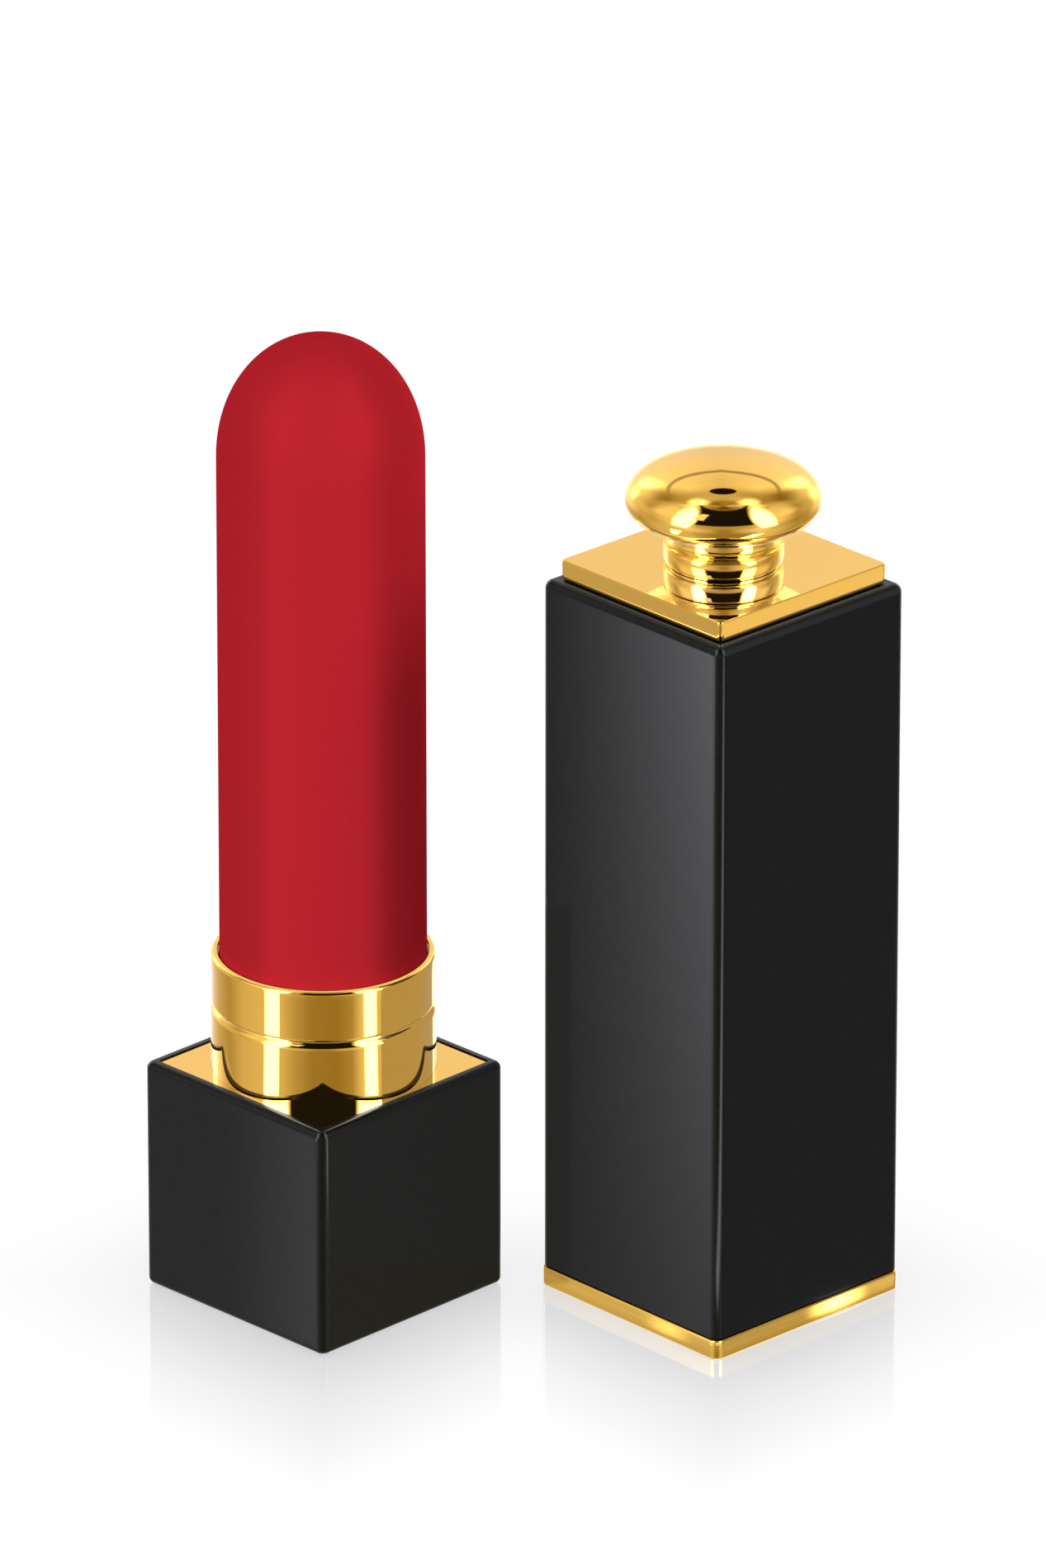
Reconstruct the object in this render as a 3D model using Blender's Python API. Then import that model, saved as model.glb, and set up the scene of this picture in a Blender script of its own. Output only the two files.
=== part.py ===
"""Square lipstick case with a knobbed cap: the base with its wound-up stick, and the cap beside it.

Run with: blender --background --python part.py

The base stands at the origin, centred on its foot face, with +Z up.  The stick is shown fully
raised.  A left-hand spindle stands still in the base; the collar and its guide sleeve turn round it
and turn the stick's carrier with them, so the nut in the carrier climbs or sinks along the spindle.
All dimensions below are in millimetres; meshes are scaled to metres as they are made.
"""
import math

import bmesh
import bpy
from mathutils import Matrix

MM = 0.001
GAP = 0.05            # between pieces that are pressed or glued together
RUNNING_GAP = 0.12    # between pieces that move past each other
ROUND_STEPS = 48      # facets round a turned piece
SPINDLE_STEPS = 24    # facets round the spindle
CORNER_STEPS = 4      # facets round a vertical edge of a square piece

# Base casing: a rounded cube, open at the top.
BASE_HALF = 10.5
BASE_HEIGHT = 20.0
CORNER_RADIUS = 0.85
EDGE_ROUND = 0.70
BASE_OPENING_HALF = 9.60
BASE_FLOOR = 1.10
LABEL_HALF = 7.5
LABEL_THICKNESS = 0.12
LABEL_RECESS = 0.15

# What is stacked inside the base.
WEIGHT_TOP = 3.0
CORE_FLOOR_TOP = 4.3
WASHER_TOP = 4.7
CORE_HALF = 9.5
POST_INNER = 5.5
POST_TOP = 18.0
PLATE_THICKNESS = 0.8
PLATE_HALF = 9.55
PLATE_HOLE_RADIUS = 9.32

# Collar and the guide sleeve that it is pressed on.
COLLAR_RADIUS = 9.25
COLLAR_WALL = 0.30
COLLAR_RIM_INNER = 8.66
COLLAR_TOP = 30.06
COLLAR_GROOVE_Z = 25.5
COLLAR_GROOVE_DEPTH = 0.14
SLEEVE_INNER = 8.62
SLEEVE_OUTER = 9.20
SLEEVE_NECK_OUTER = 8.90
SLEEVE_FLANGE = 9.50
SLEEVE_TOP = 29.6
FLANGE_BOTTOM = 18.2
FLANGE_TOP = 19.1
SLOT_TOP = 18.1
SLOT_WIDTH = 2.4

# Screw drive: three lobes, left-hand, one turn for the whole travel.
LEAD = 12.0
TRAVEL = 12.0
LOBES = 3
SPINDLE_RADIUS = 2.20
LOBE_DEPTH = 0.40
THREAD_GAP = 0.15
THREAD_STEP = 0.5
SPINDLE_TOP = 21.5
SPINDLE_FOOT_HALF = 3.0
SPINDLE_FOOT_BOTTOM = 1.9

# Carrier and the stick in it, both fully raised.
CARRIER_BOTTOM = CORE_FLOOR_TOP + 0.7 + TRAVEL
NUT_HEIGHT = 4.0
CARRIER_FLOOR_TOP = CARRIER_BOTTOM + NUT_HEIGHT
CUP_HEIGHT = 6.0
CUP_WALL = 0.45
LUG_WIDTH = 2.0
LUG_HEIGHT = 1.0
LUG_REACH = 9.08
STICK_RADIUS = 8.50
STICK_SHOULDER = 73.4
STICK_TOP = 83.7
STICK_BORE_RADIUS = 3.0
STICK_BORE_DEPTH = 14.0
DOME_STEPS = 12

# Cap, measured from the surface that it stands on, and its place beside the base.
CAP_X = 23.44
CAP_Y = 22.61
CAP_TURN = math.radians(-1.77)
CAP_HALF = 10.45
CAP_BORE_HALF = 9.70
CAP_RIM_HALF = 10.52
CAP_RIM_HEIGHT = 1.64
CAP_SHELL_TOP = 62.77
CAP_CEILING = 61.45
SKIRT_HALF = 9.40
SKIRT_TOP = 8.0
NIB_REACH = 9.20
NIB_WIDTH = 3.0
NIB_HEIGHT = 0.8
LINER_BOTTOM = 10.6
LINER_TOP = 59.4
LINER_INNER = 8.80
LINER_OUTER = 9.30
RIB_THICKNESS = 0.8
PAD_HALF = 9.1
TOP_PLATE_HALF = 9.35
TOP_PLATE_BOTTOM = 62.90
TOP_PLATE_TOP = 64.50
TOP_PLATE_BEVEL = 0.15

# Knob, its neck ring and its screw.
NECK_RING_TOP = 66.40
NECK_RING_RADIUS = 4.90
NECK_RING_FOOT = 4.40
KNOB_NECK_RADIUS = 4.45
KNOB_NECK_WAIST = 4.25
KNOB_RADIUS = 8.06
KNOB_MIDDLE = 70.0
KNOB_TOP = 73.5
KNOB_UNDER_HEIGHT = 2.95
SCREW_RADIUS = 1.0
SCREW_HOLE_RADIUS = 1.15
SCREW_HEAD_RADIUS = 2.0
SCREW_HEAD_HEIGHT = 1.1
SCREW_TOP = 69.2
WASHER_RADIUS = 2.8
WASHER_THICKNESS = 0.4

COLOURS = {                        # red, green, blue, metallic, roughness
    "black_lacquer": (0.012, 0.012, 0.013, 0.0, 0.30),
    "gold_mirror": (0.90, 0.56, 0.16, 1.0, 0.08),
    "gold_brushed": (0.86, 0.54, 0.16, 1.0, 0.32),
    "red_stick": (0.52, 0.028, 0.035, 0.0, 0.55),
    "white_plastic": (0.80, 0.80, 0.78, 0.0, 0.45),
    "black_plastic": (0.02, 0.02, 0.02, 0.0, 0.50),
    "steel": (0.56, 0.56, 0.57, 1.0, 0.35),
    "paper": (0.85, 0.85, 0.83, 0.0, 0.80),
}


# ---- Helpers ------------------------------------------------------------------------------------

def clear_scene():
    """Remove whatever the file held before."""
    for item in list(bpy.data.objects):
        bpy.data.objects.remove(item, do_unlink=True)


def make_empty(name, location):
    """An empty, placed in millimetres, that stands for a moving or loose assembly."""
    empty = bpy.data.objects.new(name, None)
    empty.location = [value * MM for value in location]
    bpy.context.scene.collection.objects.link(empty)
    return empty


def material_for(node, finish):
    """The node's own Principled material in one of the finishes above."""
    red, green, blue, metallic, roughness = COLOURS[finish]
    material = bpy.data.materials.new(node)
    material.use_nodes = True
    shader = material.node_tree.nodes["Principled BSDF"]
    shader.inputs["Base Color"].default_value = (red, green, blue, 1.0)
    shader.inputs["Metallic"].default_value = metallic
    shader.inputs["Roughness"].default_value = roughness
    return material


def finish_object(name, mesh_builder, finish, parent):
    """Turn a bmesh in millimetres into a named, shaded object in metres."""
    bmesh.ops.recalc_face_normals(mesh_builder, faces=mesh_builder.faces)
    bmesh.ops.scale(mesh_builder, vec=(MM, MM, MM), verts=mesh_builder.verts)
    mesh = bpy.data.meshes.new(name)
    mesh_builder.to_mesh(mesh)
    mesh_builder.free()
    mesh.shade_smooth()
    mesh.set_sharp_from_angle(angle=math.radians(30))
    item = bpy.data.objects.new(name, mesh)
    bpy.context.scene.collection.objects.link(item)
    item.parent = parent
    if finish:
        item.data.materials.append(material_for(name, finish))
    return item


def square_ring(half, radius, z):
    """A level rounded square, anticlockwise seen from above."""
    points = []
    reach = (half - radius) * math.sqrt(2)
    for corner in range(4):
        start = corner * math.pi / 2
        middle = start + math.pi / 4
        centre_x, centre_y = reach * math.cos(middle), reach * math.sin(middle)
        for step in range(CORNER_STEPS + 1):
            angle = start + step * (math.pi / 2) / CORNER_STEPS
            points.append((centre_x + radius * math.cos(angle), centre_y + radius * math.sin(angle), z))
    return points


def round_ring(radius, z, lobe=0.0, steps=ROUND_STEPS):
    """A level circle, or the screw's lobed outline where lobe is its depth."""
    points = []
    phase = -2 * math.pi * z / LEAD
    for step in range(steps):
        angle = 2 * math.pi * step / steps
        reach = radius + lobe * math.cos(LOBES * (angle - phase))
        points.append((reach * math.cos(angle), reach * math.sin(angle), z))
    return points


def loft(rings, closed=False):
    """Skin a list of rings; the ends are filled, or joined to each other when closed."""
    builder = bmesh.new()
    loops = [[builder.verts.new(point) for point in ring] for ring in rings]
    pairs = list(zip(loops, loops[1:]))
    if closed:
        pairs.append((loops[-1], loops[0]))
    else:
        builder.faces.new(loops[0])
        builder.faces.new(loops[-1])
    count = len(rings[0])
    for lower, upper in pairs:
        for index in range(count):
            after = (index + 1) % count
            builder.faces.new((lower[index], lower[after], upper[after], upper[index]))
    return builder


def turn_profile(profile):
    """Revolve (radius, z) points about Z; the profile is closed, or starts and ends on the axis."""
    builder = bmesh.new()
    verts = [builder.verts.new((radius, 0, z)) for radius, z in profile]
    edges = [builder.edges.new(pair) for pair in zip(verts, verts[1:])]
    on_axis = profile[0][0] == 0 and profile[-1][0] == 0
    if not on_axis:
        edges.append(builder.edges.new((verts[-1], verts[0])))
    bmesh.ops.spin(builder, geom=verts + edges, cent=(0, 0, 0), axis=(0, 0, 1),
                   angle=2 * math.pi, steps=ROUND_STEPS, use_merge=True)
    bmesh.ops.remove_doubles(builder, verts=builder.verts, dist=1e-5)
    return builder


def block(low, high):
    """A box between two corners."""
    builder = bmesh.new()
    bmesh.ops.create_cube(builder, size=1)
    size = [upper - lower for lower, upper in zip(low, high)]
    middle = [(upper + lower) / 2 for lower, upper in zip(low, high)]
    bmesh.ops.scale(builder, vec=size, verts=builder.verts)
    bmesh.ops.translate(builder, vec=middle, verts=builder.verts)
    return builder


def combine(target, builder, operation, turn=0.0):
    """Cut a hidden helper shape from an object, or join it on."""
    bmesh.ops.rotate(builder, matrix=Matrix.Rotation(turn, 3, "Z"), verts=builder.verts)
    helper = finish_object(target.name + "_" + operation.lower(), builder, None, target.parent)
    helper.hide_render = True
    helper.display_type = "WIRE"
    modifier = target.modifiers.new(helper.name, "BOOLEAN")
    modifier.operation = operation
    modifier.solver = "EXACT"
    modifier.object = helper


def edge_round(half, corner, size, z_from, z_to, steps=3):
    """Sections of a rounded square's quarter-round edge, from its widest to its end face."""
    sections = []
    for step in range(steps + 1):
        angle = step * (math.pi / 2) / steps
        inset = size * (1 - math.cos(angle))
        rise = (z_to - z_from) * math.sin(angle)
        sections.append(square_ring(half - inset, corner - inset, z_from + rise))
    return sections


# ---- Base ---------------------------------------------------------------------------------------

def make_base_shell(base):
    foot_round = edge_round(BASE_HALF, CORNER_RADIUS, EDGE_ROUND, EDGE_ROUND, 0)
    top_round = edge_round(BASE_HALF, CORNER_RADIUS, EDGE_ROUND, BASE_HEIGHT - EDGE_ROUND, BASE_HEIGHT)
    rings = [square_ring(LABEL_HALF + GAP, 0.5, LABEL_RECESS), square_ring(LABEL_HALF + GAP, 0.5, 0)]
    rings += foot_round[::-1]
    rings += top_round
    rings.append(square_ring(BASE_OPENING_HALF, 0.3, BASE_HEIGHT))
    rings.append(square_ring(BASE_OPENING_HALF, 0.3, BASE_FLOOR))
    finish_object("base_shell", loft(rings), "black_lacquer", base)


def make_shade_label(base):
    rings = [square_ring(LABEL_HALF, 0.5, z) for z in (0, LABEL_THICKNESS)]
    finish_object("shade_label", loft(rings), "paper", base)


def make_base_weight(base):
    bottom = BASE_FLOOR + GAP
    hole = SPINDLE_FOOT_HALF + GAP
    outer = CORE_HALF - GAP
    sections = [(hole, 0.05, bottom), (outer, 0.3, bottom)]
    sections += [(outer, 0.3, WEIGHT_TOP), (hole, 0.05, WEIGHT_TOP)]
    rings = [square_ring(*section) for section in sections]
    finish_object("base_weight", loft(rings, closed=True), "steel", base)


def make_mechanism_core(base):
    """Floor plate with four corner posts, hollowed round for the guide sleeve."""
    bottom = WEIGHT_TOP + GAP
    core = finish_object("mechanism_core", loft([square_ring(CORE_HALF, 0.3, bottom),
                                                 square_ring(CORE_HALF, 0.3, POST_TOP)]),
                         "white_plastic", base)
    well_radius = SLEEVE_OUTER + RUNNING_GAP
    well_sections = [round_ring(well_radius, CORE_FLOOR_TOP), round_ring(well_radius, POST_TOP + 1)]
    combine(core, loft(well_sections), "DIFFERENCE")
    for low, high in (((-20, -POST_INNER), (20, POST_INNER)), ((-POST_INNER, -20), (POST_INNER, 20))):
        window = block((*low, CORE_FLOOR_TOP), (*high, POST_TOP + 1))
        combine(core, window, "DIFFERENCE")
    boss = [round_ring(SPINDLE_RADIUS + LOBE_DEPTH + 2 * GAP, z) for z in (0, CORE_FLOOR_TOP + 1)]
    combine(core, loft(boss), "DIFFERENCE")


def make_spindle(base):
    """Square foot, round boss through the core's floor, then the lobed left-hand screw."""
    foot_top = WEIGHT_TOP
    foot = block((-SPINDLE_FOOT_HALF, -SPINDLE_FOOT_HALF, SPINDLE_FOOT_BOTTOM),
                 (SPINDLE_FOOT_HALF, SPINDLE_FOOT_HALF, foot_top))
    boss_radius = SPINDLE_RADIUS + LOBE_DEPTH
    rings = [round_ring(boss_radius, foot_top - 0.5, steps=SPINDLE_STEPS)]
    rings.append(round_ring(boss_radius, CORE_FLOOR_TOP, steps=SPINDLE_STEPS))
    screw_start = CORE_FLOOR_TOP + 0.2
    slices = round((SPINDLE_TOP - screw_start) / THREAD_STEP)
    for step in range(slices + 1):
        z = screw_start + step * THREAD_STEP
        rings.append(round_ring(SPINDLE_RADIUS, z, LOBE_DEPTH, SPINDLE_STEPS))
    spindle = finish_object("spindle", loft(rings), "white_plastic", base)
    combine(spindle, foot, "UNION")


def make_glide_washer(base):
    inner, outer = SLEEVE_INNER + 0.05, SLEEVE_OUTER
    bottom = CORE_FLOOR_TOP + GAP
    ring = [(outer, bottom), (outer, WASHER_TOP), (inner, WASHER_TOP), (inner, bottom)]
    finish_object("glide_washer", turn_profile(ring), "black_plastic", base)


def make_top_plate(base):
    bottom = BASE_HEIGHT - PLATE_THICKNESS
    rings = [square_ring(PLATE_HALF, 0.3, bottom), square_ring(PLATE_HALF, 0.3, BASE_HEIGHT)]
    plate = finish_object("top_plate", loft(rings), "gold_mirror", base)
    hole = [round_ring(PLATE_HOLE_RADIUS, bottom - 1), round_ring(PLATE_HOLE_RADIUS, BASE_HEIGHT + 1)]
    combine(plate, loft(hole), "DIFFERENCE")


# ---- Collar -------------------------------------------------------------------------------------

def make_collar_shell(collar):
    """Thin drawn shell with a rolled rim and one shallow groove."""
    inner = COLLAR_RADIUS - COLLAR_WALL
    groove_half = 0.35
    profile = [(inner, FLANGE_TOP + GAP), (COLLAR_RADIUS, FLANGE_TOP + GAP)]
    profile.append((COLLAR_RADIUS, COLLAR_GROOVE_Z - groove_half))
    profile.append((COLLAR_RADIUS - COLLAR_GROOVE_DEPTH, COLLAR_GROOVE_Z))
    profile.append((COLLAR_RADIUS, COLLAR_GROOVE_Z + groove_half))
    profile.append((COLLAR_RADIUS, COLLAR_TOP - 0.2))
    profile.append((COLLAR_RADIUS - 0.1, COLLAR_TOP))
    profile.append((COLLAR_RIM_INNER, COLLAR_TOP))
    profile.append((COLLAR_RIM_INNER, SLEEVE_TOP + GAP))
    profile.append((inner, SLEEVE_TOP + GAP))
    finish_object("collar_shell", turn_profile(profile), "gold_mirror", collar)


def make_guide_sleeve(collar):
    """Tube with a flange under the top plate and two slots, open at the bottom."""
    bottom = WASHER_TOP + GAP
    profile = [(SLEEVE_INNER, bottom), (SLEEVE_OUTER, bottom), (SLEEVE_OUTER, FLANGE_BOTTOM)]
    profile += [(SLEEVE_FLANGE, FLANGE_BOTTOM), (SLEEVE_FLANGE, FLANGE_TOP)]
    profile += [(SLEEVE_NECK_OUTER, FLANGE_TOP), (SLEEVE_NECK_OUTER, SLEEVE_TOP)]
    profile.append((SLEEVE_INNER, SLEEVE_TOP))
    sleeve = finish_object("guide_sleeve", turn_profile(profile), "white_plastic", collar)
    slots = block((-20, -SLOT_WIDTH / 2, bottom - 1), (20, SLOT_WIDTH / 2, SLOT_TOP))
    combine(sleeve, slots, "DIFFERENCE")


# ---- Stick --------------------------------------------------------------------------------------

def make_carrier(stick):
    """Cup for the stick's foot: a nut for its floor and two lugs that ride in the sleeve's slots."""
    bore = SPINDLE_RADIUS + THREAD_GAP
    cup_outer = STICK_RADIUS
    cup_inner = cup_outer - CUP_WALL
    cup_top = CARRIER_FLOOR_TOP + CUP_HEIGHT
    rings = [round_ring(cup_outer, CARRIER_BOTTOM), round_ring(cup_outer, cup_top)]
    rings += [round_ring(cup_inner, cup_top), round_ring(cup_inner, CARRIER_FLOOR_TOP)]
    slices = round(NUT_HEIGHT / THREAD_STEP)
    for step in range(slices + 1):
        z = CARRIER_FLOOR_TOP - step * THREAD_STEP
        rings.append(round_ring(bore, z, LOBE_DEPTH))
    carrier = finish_object("carrier", loft(rings, closed=True), "white_plastic", stick)
    for side in (0, math.pi):
        lug = block((cup_inner, -LUG_WIDTH / 2, CARRIER_BOTTOM),
                    (LUG_REACH, LUG_WIDTH / 2, CARRIER_BOTTOM + LUG_HEIGHT))
        combine(carrier, lug, "UNION", side)


def make_lipstick(stick):
    """Cylinder with a tall dome, stepped in to fit the cup and cored to clear the spindle."""
    foot_radius = STICK_RADIUS - CUP_WALL - GAP
    bottom = CARRIER_FLOOR_TOP + GAP
    step_z = CARRIER_FLOOR_TOP + CUP_HEIGHT + GAP
    profile = [(0, bottom + STICK_BORE_DEPTH), (STICK_BORE_RADIUS, bottom + STICK_BORE_DEPTH)]
    profile += [(STICK_BORE_RADIUS, bottom), (foot_radius, bottom), (foot_radius, step_z)]
    profile.append((STICK_RADIUS, step_z))
    dome_height = STICK_TOP - STICK_SHOULDER
    for step in range(DOME_STEPS):
        angle = step * (math.pi / 2) / DOME_STEPS
        z = STICK_SHOULDER + dome_height * math.sin(angle)
        profile.append((STICK_RADIUS * math.cos(angle), z))
    profile.append((0, STICK_TOP))
    finish_object("lipstick", turn_profile(profile), "red_stick", stick)


# ---- Cap ----------------------------------------------------------------------------------------

def make_cap_shell(cap):
    bottom = CAP_RIM_HEIGHT + GAP
    top_round = edge_round(CAP_HALF, CORNER_RADIUS, EDGE_ROUND, CAP_SHELL_TOP - EDGE_ROUND, CAP_SHELL_TOP)
    rings = [square_ring(CAP_BORE_HALF, 0.3, CAP_CEILING), square_ring(CAP_BORE_HALF, 0.3, bottom)]
    rings.append(square_ring(CAP_HALF, CORNER_RADIUS, bottom))
    rings += top_round
    shell = finish_object("cap_shell", loft(rings), "black_lacquer", cap)
    combine(shell, screw_hole(CAP_CEILING - 1, CAP_SHELL_TOP + 1), "DIFFERENCE")


def screw_hole(z_from, z_to):
    """The clearance hole that the knob's screw passes through."""
    return loft([round_ring(SCREW_HOLE_RADIUS, z_from), round_ring(SCREW_HOLE_RADIUS, z_to)])


def make_cap_rim(cap):
    """Rim band with a skirt inside the casing, and four nibs that click into the collar's groove."""
    bevel = 0.12
    skirt_outer = CAP_BORE_HALF - GAP
    corner = CORNER_RADIUS
    sections = [(SKIRT_HALF, 0.25, 0), (CAP_RIM_HALF - bevel, corner - bevel, 0)]
    sections += [(CAP_RIM_HALF, corner, bevel), (CAP_RIM_HALF, corner, CAP_RIM_HEIGHT - bevel)]
    sections.append((CAP_RIM_HALF - bevel, corner - bevel, CAP_RIM_HEIGHT))
    sections.append((skirt_outer, 0.3, CAP_RIM_HEIGHT))
    sections += [(skirt_outer, 0.3, SKIRT_TOP), (SKIRT_HALF, 0.25, SKIRT_TOP)]
    rings = [square_ring(*section) for section in sections]
    rim = finish_object("cap_rim", loft(rings, closed=True), "gold_brushed", cap)
    nib_z = COLLAR_GROOVE_Z - BASE_HEIGHT
    for quarter in range(4):
        nib = block((NIB_REACH, -NIB_WIDTH / 2, nib_z - NIB_HEIGHT / 2),
                    (SKIRT_HALF + 0.1, NIB_WIDTH / 2, nib_z + NIB_HEIGHT / 2))
        combine(rim, nib, "UNION", quarter * math.pi / 2)


def make_cap_liner(cap):
    """Plastic tube that keeps the stick central, braced to the casing's corners by four ribs."""
    outline = [(LINER_INNER, LINER_BOTTOM), (LINER_OUTER, LINER_BOTTOM)]
    outline += [(LINER_OUTER, LINER_TOP), (LINER_INNER, LINER_TOP)]
    liner = finish_object("cap_liner", turn_profile(outline), "black_plastic", cap)
    corner_reach = (CAP_BORE_HALF - 0.4) * math.sqrt(2)
    tube_middle = (LINER_INNER + LINER_OUTER) / 2
    for quarter in range(4):
        rib = block((tube_middle, -RIB_THICKNESS / 2, LINER_BOTTOM + 1),
                    (corner_reach, RIB_THICKNESS / 2, LINER_TOP - 1))
        combine(liner, rib, "UNION", math.pi / 4 + quarter * math.pi / 2)


def make_plate_pad(cap):
    """Thin adhesive pad between casing and top plate."""
    bottom, top = CAP_SHELL_TOP + 0.02, TOP_PLATE_BOTTOM - 0.02
    pad = finish_object("plate_pad", loft([square_ring(PAD_HALF, 0.3, bottom),
                                           square_ring(PAD_HALF, 0.3, top)]), "black_plastic", cap)
    combine(pad, screw_hole(bottom - 1, top + 1), "DIFFERENCE")


def make_cap_top_plate(cap):
    corner = 0.4
    bevel_z = TOP_PLATE_TOP - TOP_PLATE_BEVEL
    rings = [square_ring(TOP_PLATE_HALF, corner, TOP_PLATE_BOTTOM)]
    rings.append(square_ring(TOP_PLATE_HALF, corner, bevel_z))
    rings.append(square_ring(TOP_PLATE_HALF - TOP_PLATE_BEVEL, corner - TOP_PLATE_BEVEL, TOP_PLATE_TOP))
    plate = finish_object("cap_top_plate", loft(rings), "gold_mirror", cap)
    combine(plate, screw_hole(TOP_PLATE_BOTTOM - 1, TOP_PLATE_TOP + 1), "DIFFERENCE")


def make_neck_ring(cap):
    """Rounded bead that the knob stands on."""
    bottom = TOP_PLATE_TOP + GAP
    middle = (bottom + NECK_RING_TOP) / 2
    half_height = (NECK_RING_TOP - bottom) / 2
    bulge = NECK_RING_RADIUS - NECK_RING_FOOT
    profile = [(SCREW_HOLE_RADIUS, bottom)]
    steps = 6
    for step in range(steps + 1):
        angle = -math.pi / 2 + step * math.pi / steps
        profile.append((NECK_RING_FOOT + bulge * math.cos(angle), middle + half_height * math.sin(angle)))
    profile.append((SCREW_HOLE_RADIUS, NECK_RING_TOP))
    finish_object("neck_ring", turn_profile(profile), "gold_mirror", cap)


def make_knob(cap):
    """Flattened bulb on a waisted neck, with a blind hole for its screw."""
    bottom = NECK_RING_TOP + GAP
    hole_top = SCREW_TOP + 0.3
    profile = [(0, hole_top), (SCREW_HOLE_RADIUS, hole_top), (SCREW_HOLE_RADIUS, bottom)]
    profile += [(KNOB_NECK_RADIUS, bottom), (KNOB_NECK_WAIST, bottom + 0.45)]
    steps = 7
    neck_angle = -math.radians(62)
    for step in range(steps):
        angle = neck_angle * (1 - step / steps)
        profile.append((KNOB_RADIUS * math.cos(angle), KNOB_MIDDLE + KNOB_UNDER_HEIGHT * math.sin(angle)))
    squareness = 2 / 2.3
    for step in range(steps):
        angle = step * (math.pi / 2) / steps
        radius = KNOB_RADIUS * math.cos(angle) ** squareness
        z = KNOB_MIDDLE + (KNOB_TOP - KNOB_MIDDLE) * math.sin(angle) ** squareness
        profile.append((radius, z))
    profile.append((0, KNOB_TOP))
    finish_object("knob", turn_profile(profile), "gold_mirror", cap)


def make_knob_screw(cap):
    """Pan-head screw with a cross recess, driven from inside the cap."""
    head_top = CAP_CEILING - 2 * GAP - WASHER_THICKNESS
    head_bottom = head_top - SCREW_HEAD_HEIGHT
    profile = [(0, head_bottom), (SCREW_HEAD_RADIUS - 0.4, head_bottom)]
    profile += [(SCREW_HEAD_RADIUS, head_bottom + 0.4), (SCREW_HEAD_RADIUS, head_top)]
    profile += [(SCREW_RADIUS, head_top), (SCREW_RADIUS, SCREW_TOP), (0, SCREW_TOP)]
    screw = finish_object("knob_screw", turn_profile(profile), "steel", cap)
    for turn in (0, math.pi / 2):
        slot = block((-1.2, -0.2, head_bottom - 1), (1.2, 0.2, head_bottom + 0.6))
        combine(screw, slot, "DIFFERENCE", turn)


def make_knob_washer(cap):
    top = CAP_CEILING - GAP
    bottom = top - WASHER_THICKNESS
    ring = [(WASHER_RADIUS, bottom), (WASHER_RADIUS, top)]
    ring += [(SCREW_HOLE_RADIUS, top), (SCREW_HOLE_RADIUS, bottom)]
    finish_object("knob_washer", turn_profile(ring), "steel", cap)


def build():
    clear_scene()
    base = make_empty("base_origin", (0, 0, 0))
    collar = make_empty("collar_axis", (0, 0, 0))
    stick = make_empty("stick_axis", (0, 0, 0))
    cap = make_empty("cap_axis", (CAP_X, CAP_Y, 0))
    cap.rotation_euler.z = CAP_TURN
    for make in (make_base_shell, make_shade_label, make_base_weight, make_mechanism_core,
                 make_spindle, make_glide_washer, make_top_plate):
        make(base)
    for make in (make_collar_shell, make_guide_sleeve):
        make(collar)
    for make in (make_carrier, make_lipstick):
        make(stick)
    for make in (make_cap_shell, make_cap_rim, make_cap_liner, make_plate_pad, make_cap_top_plate,
                 make_neck_ring, make_knob, make_knob_screw, make_knob_washer):
        make(cap)


build()
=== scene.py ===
"""Looks for the square lipstick case: fine meshes, materials, studio and camera round the CAD frame.

Profiles are in millimetres, as (radius, z) or (half width, corner radius, z).  The base stands at the
origin, and the cap's own pieces are made upright at the origin and then put on the cap's axis.
"""

import math

import bmesh
import bpy
from mathutils import Matrix, Vector


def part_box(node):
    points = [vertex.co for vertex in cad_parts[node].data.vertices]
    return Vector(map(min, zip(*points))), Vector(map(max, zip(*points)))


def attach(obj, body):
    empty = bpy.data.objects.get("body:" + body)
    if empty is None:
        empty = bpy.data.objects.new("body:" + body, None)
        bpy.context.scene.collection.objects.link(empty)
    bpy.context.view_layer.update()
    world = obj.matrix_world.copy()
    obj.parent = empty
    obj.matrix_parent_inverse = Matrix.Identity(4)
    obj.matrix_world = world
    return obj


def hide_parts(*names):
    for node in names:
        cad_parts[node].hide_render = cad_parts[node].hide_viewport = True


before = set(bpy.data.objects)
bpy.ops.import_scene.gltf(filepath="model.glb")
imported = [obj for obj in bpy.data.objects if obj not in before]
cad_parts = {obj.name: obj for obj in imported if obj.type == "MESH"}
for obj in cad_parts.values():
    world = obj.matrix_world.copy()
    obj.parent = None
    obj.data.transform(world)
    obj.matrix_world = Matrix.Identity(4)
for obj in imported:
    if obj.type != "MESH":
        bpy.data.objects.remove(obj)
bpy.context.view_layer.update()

MM = 0.001
ROUND_STEPS = 160
CORNER_STEPS = 10
CREASE = math.radians(40)
SCREW_HOLE = 1.15


# ---- Places and sizes, read from the frame -------------------------------------------------------

def box_mm(node):
    """A node's lowest and highest corners in millimetres."""
    low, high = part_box(node)
    return low / MM, high / MM


def half_width(node):
    low, high = box_mm(node)
    return (high.x - low.x) / 2


CAMERA_AZIMUTH = math.radians(45)
TOWARDS = Vector((math.sin(CAMERA_AZIMUTH), -math.cos(CAMERA_AZIMUTH), 0))
RIGHT = Vector((math.cos(CAMERA_AZIMUTH), math.sin(CAMERA_AZIMUTH), 0))

CAP_TURN = math.radians(-1.77)
knob_low, knob_high = box_mm("knob")
CAP_AXIS = Vector(((knob_low.x + knob_high.x) / 2, (knob_low.y + knob_high.y) / 2, 0))

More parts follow.
